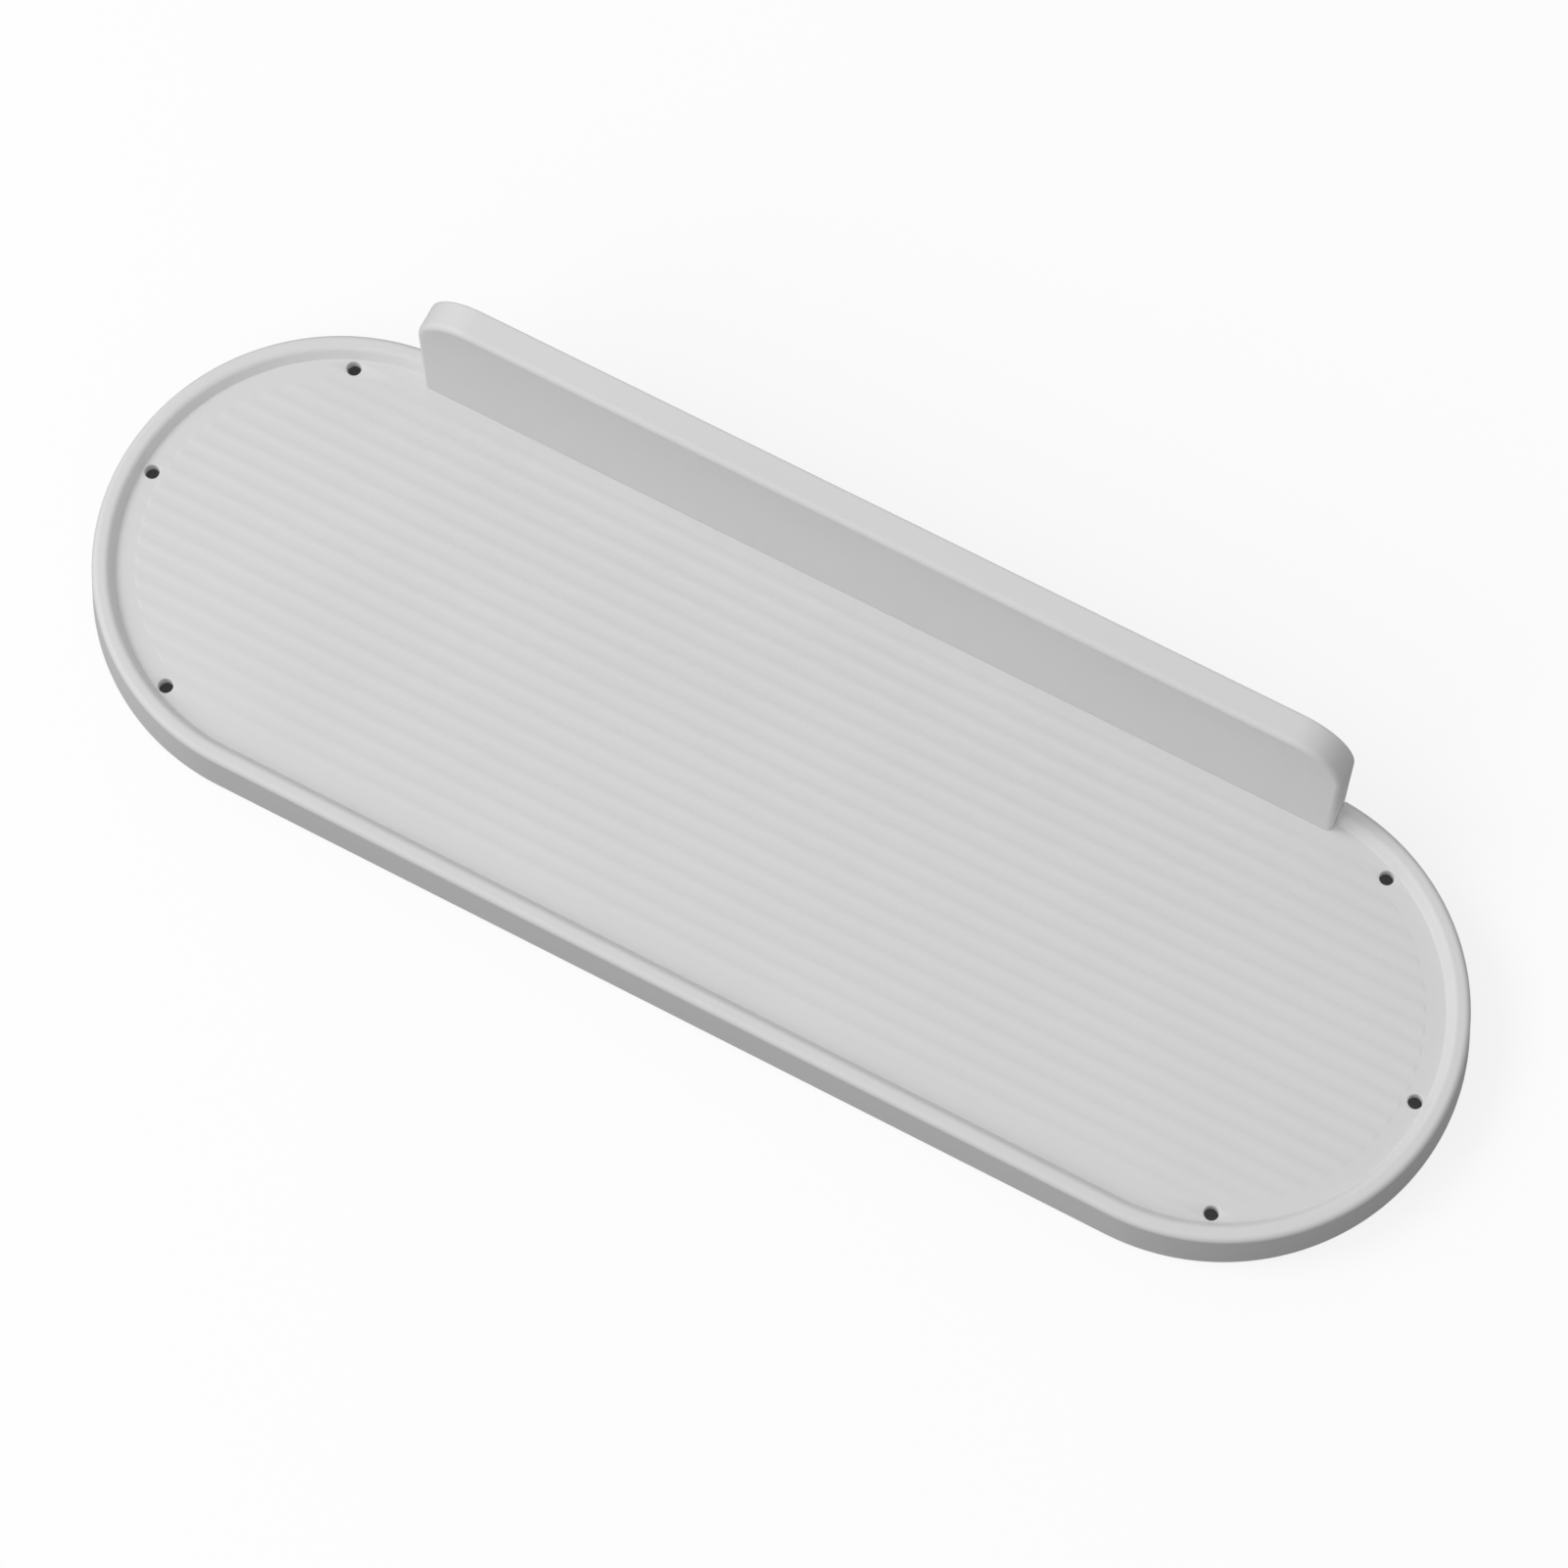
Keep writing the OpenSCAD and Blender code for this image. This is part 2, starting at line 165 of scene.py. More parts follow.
class ShelfUpstandSizes(PropertyGroup):
    """Sizes of the upstand and of the screws that hold it."""

    corner: length("Corner", 12.0, "Radius of the top corners")
    front_edge: length("Front edge", 1.2, "Rounding of the front edge")
    back_edge: length("Back edge", 0.4, "Rounding at the open back")
    foot_edge: length("Foot edge", 0.12, "Rounding of the front's bottom edge")
    wall: length("Wall", 2.0, "Wall thickness")
    foot: length("Foot", 2.2, "Thickness of the foot on the tray")
    boss: length("Boss", 5.0, "Diameter of a screw boss")
    pocket_wall: length("Pocket wall", 1.8, "Wall thickness of a hanging pocket")
    slide_gap: length("Slide gap", 0.3, "Gap round a tongue in its pocket")
    screw_inner: length("Inner screws", 26.0, "From the middle to the inner screws")
    screw_outer: length("Outer screws", 88.0, "From the middle to the outer screws")
    screw: length("Screw", 2.6, "Diameter over the thread")
    screw_head: length("Screw head", 4.4, "Diameter of a screw's head")
    screw_head_height: length("Screw head height", 1.8, "Height of a screw's head")
    thread_pitch: length("Thread pitch", 0.9, "From one turn to the next")
    screw_pad: length("Screw pad", 7.6, "Diameter of a pad under the tray")


class ShelfPlateSizes(PropertyGroup):
    """Sizes of the wall plate and its adhesive pads."""

    thickness: length("Thickness", 2.0, "Thickness of the wall plate")
    corner: length("Corner", 3.0, "Radius of its corners")
    edge: length("Edge", 0.35, "Rounding of its edges")
    tongue_x: length("Tongue place", 52.0, "From the middle to each tongue")
    tongue_head: length("Tongue head", 16.0, "Width of a tongue's head")
    tongue_head_t: length("Tongue head thickness", 1.6, "Thickness of a tongue's head")
    tongue_neck: length("Tongue neck", 9.0, "Width of a tongue's neck")
    tongue_height: length("Tongue height", 9.0, "Height of a tongue")
    tongue_corner: length("Tongue corner", 2.5, "Radius of a tongue's top corners")
    pad_corner: length("Pad corner", 2.0, "Radius of a pad's corners")
    pad_edge: length("Pad edge", 0.15, "Rounding of a pad's edges")


class ShelfFinish(PropertyGroup):
    """Colours and surface of the part."""

    shelf: colour("Shelf", (0.7, 0.7, 0.7), "Grey of the tray and upstand")
    plate: colour("Wall plate", (0.76, 0.76, 0.755), "White of the wall plate")
    foam: colour("Adhesive", (0.55, 0.57, 0.57), "Grey of the adhesive foam")
    steel: colour("Screws", (0.56, 0.56, 0.57), "Zinc plated steel of the screws")
    grain: length("Grain", 0.5, "Size of the mould's texture")
    grain_depth: length("Grain depth", 0.012, "Depth of the mould's texture")
    drift: factor("Drift", 0.03, "Drift of the plastic's tone")
    gloss: factor("Roughness", 0.55, "Roughness of the moulded plastic")


class ShelfStage(PropertyGroup):
    """Light, floor and camera."""

    key_power: factor("Key light", 21.7, "Power of the key light in watts")
    key_azimuth: angle("Key azimuth", -70.0, "Turn of the key light")
    key_elevation: angle("Key elevation", 48.0, "Height of the key light")
    fill_power: factor("Fill light", 9.6, "Power of the fill light in watts")
    fill_azimuth: angle("Fill azimuth", -30.0, "Turn of the fill light")
    fill_elevation: angle("Fill elevation", 35.0, "Height of the fill light")
    light_size: length("Light size", 1200.0, "Diameter of the soft lights")
    light_distance: length("Light distance", 2400.0, "From the part to the soft lights")
    sky: factor("Sky", 0.545, "Level of the even light")
    floor_tone: factor("Floor tone", 0.2, "Share of the floor that shows shadow")
    floor_bounce: factor("Floor bounce", 0.02, "Light that the floor throws up")
    # Painted shade: reflections see the floor without its glow within this border round the tray
    floor_shade: length("Floor shade", 80.0, "Border that the gloss sees dark")
    under_light: factor("Under light", 0.12, "Light on the tray's underside")
    # Painted shade: under the part the floor has no glow and shows only this tone of its real light
    painted_shade_tone: factor("Under tone", 0.25, "Tone of the floor under the part")
    lens: FloatProperty(name="Lens", description="Focal length of the camera", default=149.85,
                        subtype="DISTANCE_CAMERA", unit="CAMERA")
    azimuth: angle("Azimuth", 27.81, "Turn of the camera")
    elevation: angle("Elevation", 70.96, "Height of the camera")
    distance: length("Distance", 1300.2, "From the aim point to the camera")
    aim: FloatVectorProperty(name="Aim", description="Point that the camera looks at", size=3,
                             default=(0.00258, -0.05087, -0.0254), subtype="XYZ", unit="LENGTH")


# Wiring of node trees

class Sketch:
    """Puts nodes in a tree and wires them; a node stands for its first output."""

    def __init__(self, tree):
        self.tree = tree

    def feed(self, socket, value):
        for item in value if isinstance(value, list) else [value]:
            if isinstance(item, Node):
                item = item.outputs[0]
            if isinstance(item, NodeSocket):
                self.tree.links.new(item, socket)
            else:
                socket.default_value = item

    def put(self, kind, values=None, **settings):
        node = self.tree.nodes.new(kind)
        for key, value in settings.items():
            setattr(node, key, value)
        for key, value in (values or {}).items():
            self.feed(node.inputs[key], value)
        return node

    def math(self, operation, *values):
        return self.put("ShaderNodeMath", dict(enumerate(values)), operation=operation)

    def times(self, first, second):
        return self.math("MULTIPLY", first, second)

    def minus(self, first, second):
        return self.math("SUBTRACT", first, second)

    def ramp(self, value, low, high, to_low, to_high, kind="LINEAR"):
        return self.put("ShaderNodeMapRange", {
            "Value": value, "From Min": low, "From Max": high, "To Min": to_low, "To Max": to_high,
        }, interpolation_type=kind)

    def vector(self, x, y, z):
        return self.put("ShaderNodeCombineXYZ", {"X": x, "Y": y, "Z": z})

    def number(self):
        return self.put("GeometryNodeInputIndex")


def node_group(name, kind, inputs, outputs):
    """A node group with named sockets, each of the kind that is given for it."""
    tree = bpy.data.node_groups.new(name, kind)
    for in_out, sockets in (("INPUT", inputs), ("OUTPUT", outputs)):
        for label, holds in sockets.items():
            tree.interface.new_socket(label, in_out=in_out, socket_type="NodeSocket" + holds)
    sketch = Sketch(tree)
    return sketch, sketch.put("NodeGroupInput").outputs


def geometry_tree(name, lengths, patterns=()):
    """A Geometry Nodes tree with named inputs: its sketch and its inputs' sockets."""
    inputs = {"Geometry": "Geometry", **dict.fromkeys(lengths, "Float"),
              **dict.fromkeys(patterns, "Object"), "Material": "Material"}
    return node_group(name, "GeometryNodeTree", inputs, {"Geometry": "Geometry"})


def close_tree(sketch, given, geometry):
    """Ends a tree with the material of its piece."""
    dressed = sketch.put("GeometryNodeSetMaterial", {
        "Geometry": geometry, "Material": given["Material"]})
    sketch.put("NodeGroupOutput", {"Geometry": dressed})


def union(sketch, *solids):
    """Joins solids in a tree."""
    return sketch.put("GeometryNodeMeshBoolean", {"Mesh 2": [*solids]},
                      operation="UNION", solver="EXACT")


def cut(sketch, solid, *tools):
    """Cuts tools out of a solid in a tree."""
    return sketch.put("GeometryNodeMeshBoolean", {"Mesh 1": solid, "Mesh 2": [*tools]},
                      operation="DIFFERENCE", solver="EXACT")


def pattern(sketch, source):
    """Mesh of an object that serves as a pattern."""
    return sketch.put("GeometryNodeObjectInfo", {"Object": source}).outputs["Geometry"]


def repeat(sketch, count, position, shape):
    """Repeats a shape on points whose place follows from their number."""
    points = sketch.put("GeometryNodePoints", {"Count": count, "Position": position})
    placed = sketch.put("GeometryNodeInstanceOnPoints", {"Points": points, "Instance": shape})
    return sketch.put("GeometryNodeRealizeInstances", {"Geometry": placed})


def screw_place(sketch, given):
    """Place of a screw by its number: an inner and an outer one on each side."""
    number = sketch.number()
    outer = sketch.math("MODULO", number, 2.0)
    side = sketch.ramp(sketch.math("GREATER_THAN", number, 1.5), 0.0, 1.0, -1.0, 1.0)
    along = sketch.ramp(outer, 0.0, 1.0, given["Inner screws"], given["Outer screws"])
    return sketch.vector(sketch.times(side, along), given["Screw line"], 0.0)


def screw_row(upstand):
    """Values of the inputs that place the screws."""
    return dict(zip(SCREW_ROW, (upstand.screw_inner, upstand.screw_outer, SCREW_LINE_Y)))


def row_place(sketch, pitch, middle):
    """Place along X by number, in an even row about the middle number."""
    return sketch.vector(sketch.times(sketch.minus(sketch.number(), middle), pitch), 0.0, 0.0)


def grow(piece, sketch, values):
    """Runs a tree on a piece, keeps the result as its plain mesh and removes the patterns."""
    modifier = piece.modifiers.new(sketch.tree.name, "NODES")
    modifier.node_group = sketch.tree
    for item in sketch.tree.interface.items_tree:
        if item.item_type == "SOCKET" and item.in_out == "INPUT" and item.name in values:
            modifier[item.identifier] = values[item.name]
    evaluated = piece.evaluated_get(bpy.context.evaluated_depsgraph_get())
    grown = bpy.data.meshes.new_from_object(evaluated)
    piece.modifiers.remove(modifier)
    for value in values.values():
        if isinstance(value, Object):
            bpy.data.objects.remove(value)
    piece.data = grown
    grown.shade_smooth()
    grown.set_sharp_from_angle(angle=SMOOTH_ANGLE)
    return piece


# Shapes in plain mesh

def linked(name, data):
    """A mesh, lamp or camera as an object of the scene."""
    made = bpy.data.objects.new(name, data)
    bpy.context.scene.collection.objects.link(made)
    return made


def arc(centre, radius, start, end, steps):
    """Points on an arc, both ends included; angles in degrees."""
    points = []
    for step in range(steps + 1):
        turn = radians(start + (end - start) * step / steps)
        points.append((centre[0] + radius * cos(turn), centre[1] + radius * sin(turn)))
    return points


def mesh_object(name, points, faces):
    """Closed mesh with its doubles merged and its faces outwards."""
    mesh = bpy.data.meshes.new(name)
    mesh.from_pydata(points, [], faces)
    work = bmesh.new()
    work.from_mesh(mesh)
    bmesh.ops.remove_doubles(work, verts=work.verts, dist=1e-7)
    bmesh.ops.dissolve_degenerate(work, edges=work.edges, dist=1e-8)
    bmesh.ops.recalc_face_normals(work, faces=work.faces)
    work.to_mesh(mesh)
    work.free()
    return linked(name, mesh)


def skin(loops, caps=(True, True)):
    """Points and faces of a skin through loops of equal length."""
    count = len(loops[0])
    points = [point for loop in loops for point in loop]
    faces = []
    for first in range(0, (len(loops) - 1) * count, count):
        for here in range(count):
            after = (here + 1) % count
            faces.append((first + here, first + after, first + count + after, first + count + here))
    if caps[0]:
        faces.append(tuple(reversed(range(count))))
    if caps[1]:
        faces.append(tuple(range(len(points) - count, len(points))))
    return points, faces


def lathe(name, section, steps=48):
    """Solid turned about Z from a section of (radius, height) points."""
    turns = [2.0 * pi * step / steps for step in range(steps)]
    loops = [[(r * cos(a), r * sin(a), z) for a in turns] for r, z in section]
    return mesh_object(name, *skin(loops))


def round_rectangle(half_l, half_h, radius, steps=8):
    """Outline of a rectangle with round corners, about the origin."""
    x, z = half_l - radius, half_h - radius
    return (arc((x, -z), radius, -90, 0, steps) + arc((x, z), radius, 0, 90, steps)
            + arc((-x, z), radius, 90, 180, steps) + arc((-x, -z), radius, 180, 270, steps))


def arch(half_l, top, radius, bottom, steps=14):
    """Outline with round top corners and a straight foot."""
    x, z = half_l - radius, top - radius
    return ([(half_l, bottom)] + arc((x, z), radius, 0, 90, steps)
            + arc((-x, z), radius, 90, 180, steps) + [(-half_l, bottom)])


def slab(name, outline, front, back, edge):
    """Round-edged plate between two Y planes; outline(inset) gives its XZ outline."""
    section = [(front, edge + STRIP)] + arc((front + edge, edge), edge, 180, 270, 4)
    section += [(front + edge + STRIP, 0.0), (back - edge - STRIP, 0.0)]
    section += arc((back - edge, edge), edge, 270, 360, 4) + [(back, edge + STRIP)]
    loops = [[(x, y, z) for x, z in outline(inset)] for y, inset in section]
    return mesh_object(name, *skin(loops))


def block(name, low, high, edge=0.0):
    """Box between two corners, round-edged where a radius is given."""
    work = bmesh.new()
    bmesh.ops.create_cube(work, size=1.0)
    for vert in work.verts:
        vert.co = [low[k] + (vert.co[k] + 0.5) * (high[k] - low[k]) for k in range(3)]
    if edge:
        bmesh.ops.bevel(work, geom=work.edges, offset=edge, segments=3, profile=0.5,
                        affect="EDGES")
    mesh = bpy.data.meshes.new(name)
    work.to_mesh(mesh)
    work.free()
    return linked(name, mesh)


def seat(piece, body, slot, *nodes):
    """Hands a finished piece to the frame."""
    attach(piece, body)
    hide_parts(*nodes)


# Tray

def tray_profile(tray):
    """Section of the tray from its floor outwards: (distance from the axis, height)."""
    outer = tray.width / 2
    inner = outer - tray.skirt
    under = FLOOR_Z - tray.floor
    inner_edge = tray.skirt_edge / 2
    fillet = tray.skirt_edge
    # Leaning inner wall of the rim, with a fillet at its foot and a rounding at its top
    rim_h = RIM_Z - FLOOR_Z
    slope = atan2(rim_h, tray.rim_lean)
    steep = degrees(slope)
    foot = outer - tray.rim
    lip_z = RIM_Z - tray.rim_lip
    lip = foot + (rim_h - tray.rim_lip) / tan(slope) + tray.rim_lip / sin(slope)
    foot_start = foot - tray.rim_foot * tan(slope / 2)
    section = arc((foot_start, FLOOR_Z + tray.rim_foot), tray.rim_foot, -90, steep - 90, 5)
    section += arc((lip, lip_z), tray.rim_lip, 90 + steep, 90, 8)
    # Skirt that leans outwards between the roundings of its two edges
    lean = atan2(tray.skirt_lean, RIM_Z - BOTTOM_Z)
    tilt = degrees(lean)
    brow_z, heel_z = RIM_Z - tray.rim_edge, BOTTOM_Z + tray.skirt_edge
    brow = outer - tray.skirt_lean - tray.rim_edge * (1.0 - sin(lean)) / cos(lean)
    heel = outer - tray.skirt_edge * (1.0 + sin(lean)) / cos(lean)
    section += [(lip + STRIP, RIM_Z), (brow - STRIP, RIM_Z)]
    section += arc((brow, brow_z), tray.rim_edge, 90, tilt, 12)
    section += [(outer - (z - BOTTOM_Z) * tan(lean), z)
                for z in (brow_z - STRIP, heel_z + tray.skirt_edge * sin(lean) + STRIP)]
    section += arc((heel, heel_z), tray.skirt_edge, tilt, -90, 6)
    section += arc((inner + inner_edge, BOTTOM_Z + inner_edge), inner_edge, -90, -180, 4)
    section += [(inner, BOTTOM_Z + inner_edge + STRIP), (inner, under - fillet - STRIP)]
    section += arc((inner - fillet, under - fillet), fillet, 0, 90, 5)
    section += [(inner - fillet - STRIP, under)]
    return section


def floor_rows(tray, reach, ribbed):
    """Y of the floor's rows of points: close on the ribs, then round to the edge."""
    rib_steps, edge_steps = 8, 16
    half = tray.rib_width / 2
    rows = []
    count = round(ribbed / tray.rib_pitch)
    for row in range(-count, count):
        rows.append(row * tray.rib_pitch)
        middle = (row + 0.5) * tray.rib_pitch
        rows += [middle - half + tray.rib_width * k / rib_steps for k in range(rib_steps + 1)]
    rows.append(ribbed)
    start = asin(ribbed / reach)
    turns = [start + (pi / 2 - start) * k / edge_steps for k in range(1, edge_steps + 1)]
    edge = [reach * sin(turn) for turn in turns]
    return [-y for y in reversed(edge)] + rows + edge


def floor_columns(tray, y, straight, reach, ribbed, field):
    """X of the floor's points on one row, from the middle to the edge."""
    taper_steps = 6
    edge = sqrt(max(reach ** 2 - y ** 2, 0.0))
    level = min(abs(y), ribbed)
    share = sqrt((field ** 2 - level ** 2) / (reach ** 2 - level ** 2))
    rib_end = straight + edge * share
    run_out = [rib_end - tray.rib_taper * k / taper_steps for k in range(taper_steps, -1, -1)]
    return [0.0, straight * 0.5, straight * 0.9] + run_out + [straight + edge]


def tray_blank(tray):
    """Tray with a plain floor, meshed in rows along the ribs to come."""
    outer = tray.width / 2
    straight = tray.length / 2 - outer
    field = outer - tray.rib_border
    profile = tray_profile(tray)
    reach = profile[0][0] - STRIP
    ribbed = int((field - tray.rib_width / 2) / tray.rib_pitch + 0.5) * tray.rib_pitch
    rows = floor_rows(tray, reach, ribbed)
    points, faces, width = [], [], 0
    for y in rows:
        half = floor_columns(tray, y, straight, reach, ribbed, field)
        columns = [-x for x in reversed(half[1:])] + half
        width = len(columns)
        points += [(x, TRAY_MID_Y + y, FLOOR_Z) for x in columns]
    for row in range(len(rows) - 1):
        for column in range(width - 1):
            here = row * width + column
            faces.append((here, here + 1, here + width + 1, here + width))
    # Stations round the edge of the floor: an axis point and the direction outwards
    across = [(sqrt(max(1.0 - (y / reach) ** 2, 0.0)), y / reach) for y in rows]
    along = floor_columns(tray, rows[-1], straight, reach, ribbed, field)[:-2]
    along = along[::-1] + [-x for x in along[1:]]
    stations = [(straight, nx, ny) for nx, ny in across]
    stations += [(x, 0.0, 1.0) for x in along]
    stations += [(-straight, -nx, ny) for nx, ny in reversed(across)]
    stations += [(-x, 0.0, -1.0) for x in along]
    loops = [[(x + nx * r, TRAY_MID_Y + ny * r, z) for x, nx, ny in stations]
             for r, z in [(reach, FLOOR_Z)] + profile]
    side_points, side_faces = skin(loops, caps=(False, True))
    start = len(points)
    points += side_points
    faces += [tuple(start + k for k in face) for face in side_faces]
    return mesh_object("ribbed_tray", points, faces)


def tray_tree():
    """Raises the ribs, adds the stiffening ribs and pads, cuts the seat and the holes."""
    lengths = (*TRAY_LENGTHS, "Rib field", "Straight", "Drain circle", *SCREW_ROW)
    shapes = ("Drain", "Cross web", "Long web", "Screw pad", "Screw hole", "Seat")
    sketch, given = geometry_tree("Ribbed tray", lengths, shapes)
    drain, cross_web, long_web, pad, hole, bed = [pattern(sketch, given[name]) for name in shapes]
    math_of, times, minus = sketch.math, sketch.times, sketch.minus
    place = sketch.put("ShaderNodeSeparateXYZ", {
        0: sketch.put("GeometryNodeInputPosition")}).outputs
    across = minus(place["Y"], TRAY_MID_Y)
    # Round rib from its distance to the rib's own axis
    phase = math_of("FRACT", math_of("DIVIDE", across, given["Rib pitch"]))
    off_axis = times(math_of("ABSOLUTE", minus(phase, 0.5)), given["Rib pitch"])
    share = math_of("MINIMUM", math_of("DIVIDE", times(off_axis, 2.0), given["Rib width"]), 1.0)
    crest = math_of("MULTIPLY_ADD", math_of("COSINE", times(share, pi)), 0.5, 0.5)
    # Run out of the ribs at the border of their field
    past = math_of("MAXIMUM", minus(math_of("ABSOLUTE", place["X"]), given["Straight"]), 0.0)
    radius = math_of("SQRT", math_of("ADD", times(past, past), times(across, across)))
    run_out = sketch.ramp(radius, minus(given["Rib field"], given["Rib taper"]),
                          given["Rib field"], 1.0, 0.0, "SMOOTHSTEP")
    on_floor = math_of("GREATER_THAN", place["Z"], FLOOR_Z - HAIR)
    lift = times(times(crest, run_out), times(given["Rib height"], on_floor))
    ribbed = sketch.put("GeometryNodeSetPosition", {
        "Geometry": given["Geometry"], "Offset": sketch.vector(0.0, 0.0, lift)})
    # Webs and screw pads under the floor
    number = sketch.number()
    long_side = times(sketch.ramp(number, 0.0, 1.0, -1.0, 1.0), given["Web offset"])
    screws = screw_place(sketch, given)
    whole = union(
        sketch, ribbed, repeat(sketch, 5, row_place(sketch, given["Web pitch"], 2.0), cross_web),
        repeat(sketch, 2, sketch.vector(0.0, long_side, 0.0), long_web),
        repeat(sketch, 4, screws, pad))
    # Three drain holes round each end
    end = sketch.ramp(math_of("GREATER_THAN", number, 2.5), 0.0, 1.0, 1.0, -1.0)
    turn = times(minus(math_of("MODULO", number, 3.0), 1.0), given["Drain angle"])
    drain_x, drain_y = [
        math_of("MULTIPLY_ADD", math_of(part, turn), given["Drain circle"], middle)
        for part, middle in (("COSINE", given["Straight"]), ("SINE", TRAY_MID_Y))]
    round_end = sketch.vector(times(drain_x, end), drain_y, 0.0)
    close_tree(sketch, given, cut(
        sketch, whole, repeat(sketch, 6, round_end, drain), repeat(sketch, 4, screws, hole), bed))
    return sketch


class SHELF_OT_tray(Operator):
    """Builds the ribbed tray with its rim, drain holes and stiffening ribs"""

    bl_idname = "shelf.tray"
    bl_label = "Ribbed tray"

    def execute(self, context):
        tray, upstand = context.scene.shelf_tray, context.scene.shelf_upstand
        outer = tray.width / 2
        straight = tray.length / 2 - outer
        under = FLOOR_Z - tray.floor
        middle = FLOOR_Z - tray.floor / 2
        inside = outer - tray.skirt / 2
        drain_r = tray.drain / 2
        mouth = arc((drain_r + tray.drain_mouth, FLOOR_Z - tray.drain_mouth + HAIR),
                    tray.drain_mouth, 180, 90, 6)
        drain = lathe("drain", [(drain_r, under - OVER)] + mouth + [(mouth[-1][0], FLOOR_Z + OVER)])
        web_half = tray.web / 2
        web_low = under - tray.web_depth
        cross = block("cross_web", (-web_half, TRAY_MID_Y - inside, web_low),
                      (web_half, TRAY_MID_Y + inside, middle), SMALL_EDGE)
        reach = straight + sqrt(inside ** 2 - tray.web_offset ** 2)
        long = block("long_web", (-reach, TRAY_MID_Y - web_half, web_low + HAIR),
                     (reach, TRAY_MID_Y + web_half, middle - HAIR), SMALL_EDGE)
        seat_z = SCREWS_LOW.z + upstand.screw_head_height
        pad_r = upstand.screw_pad / 2
        edge = 0.3 * MM
        pad = lathe("screw_pad", arc((pad_r - edge, seat_z + edge), edge, -90, 0, 4)
                    + [(pad_r, middle - 2 * HAIR)])
        hole_r = upstand.screw / 2 + SCREW_PLAY
        hole = lathe("screw_hole", [(hole_r, seat_z - OVER), (hole_r, FLOOR_Z + OVER)])
        bed = block("seat", (UPSTAND_LOW.x - tray.seat_gap, FRONT_Y, FLOOR_Z - HAIR),
                    (UPSTAND_HIGH.x + tray.seat_gap, TRAY_HIGH.y + OVER, RIM_Z + OVER))
        values = {
            **{label: getattr(tray, label.lower().replace(" ", "_")) for label in TRAY_LENGTHS},
            **screw_row(upstand), "Rib field": outer - tray.rib_border, "Straight": straight,
            "Drain circle": outer - tray.drain_inset, "Drain": drain, "Cross web": cross,
            "Long web": long, "Screw pad": pad, "Screw hole": hole, "Seat": bed,
            "Material": shelf_plastic(context.scene.shelf_finish),
        }
        piece = grow(tray_blank(tray), tray_tree(), values)
        seat(piece, "shelf", "shelf_plastic", "tray")
        return {"FINISHED"}


# Upstand and its screws

def upstand_shell(upstand):
    """Hollow upstand, open at the back: one skin from the hollow's bottom to the front."""
    half, top = UPSTAND_HIGH.x, UPSTAND_HIGH.z
    hollow_y = FRONT_Y + upstand.wall
    fillet, mouth = 0.5 * MM, upstand.back_edge / 2
    hollow_foot = FLOOR_Z + upstand.foot
    edge, back = upstand.front_edge, upstand.back_edge
    wall = upstand.wall
    # Rows of the section in the hollow and then outside: Y, and inset from the outside
    hollow = [(hollow_y, wall + fillet + STRIP)]
    hollow += arc((hollow_y + fillet, wall + fillet), fillet, 180, 270, 4)
    hollow += [(hollow_y + fillet + STRIP, wall), (BACK_Y - mouth - STRIP, wall)]
    hollow += arc((BACK_Y - mouth, wall - mouth), mouth, 90, 0, 3)
    outside = arc((BACK_Y - back, back), back, 0, -90, 4)
    outside += [(BACK_Y - back - STRIP, 0.0), (FRONT_Y + edge + STRIP, 0.0)]
    outside += arc((FRONT_Y + edge, edge), edge, 270, 180, 8) + [(FRONT_Y, edge + STRIP)]
    loops = []
    for row, (y, inset) in enumerate(hollow + outside):
        raised = max(upstand.foot_edge - (y - FRONT_Y), 0.0)
        bottom = FLOOR_Z + upstand.foot_edge - sqrt(upstand.foot_edge ** 2 - raised ** 2)
        if row < len(hollow):
            bottom = hollow_foot + inset - wall
        outline = arch(half - inset, top - inset, upstand.corner - inset, bottom)
        loops.append([(x, y, z) for x, z in outline])
    return mesh_object("hollow_upstand", *skin(loops))


def upstand_tree():
    """Joins the screw bosses and the hanging pockets to the hollow upstand."""
    sketch, given = geometry_tree("Hollow upstand", (*SCREW_ROW, "Pocket place"),
                                  ("Boss", "Pilot hole", "Pocket", "Pocket slot"))
    screws = screw_place(sketch, given)
    bosses, pilots = [repeat(sketch, 4, screws, pattern(sketch, given[label]))
                      for label in ("Boss", "Pilot hole")]
    pair = row_place(sketch, sketch.times(given["Pocket place"], 2.0), 0.5)
    pockets, slots = [repeat(sketch, 2, pair, pattern(sketch, given[label]))
                      for label in ("Pocket", "Pocket slot")]
    whole = union(sketch, given["Geometry"], bosses, cut(sketch, pockets, slots))
    close_tree(sketch, given, cut(sketch, whole, pilots))
    return sketch


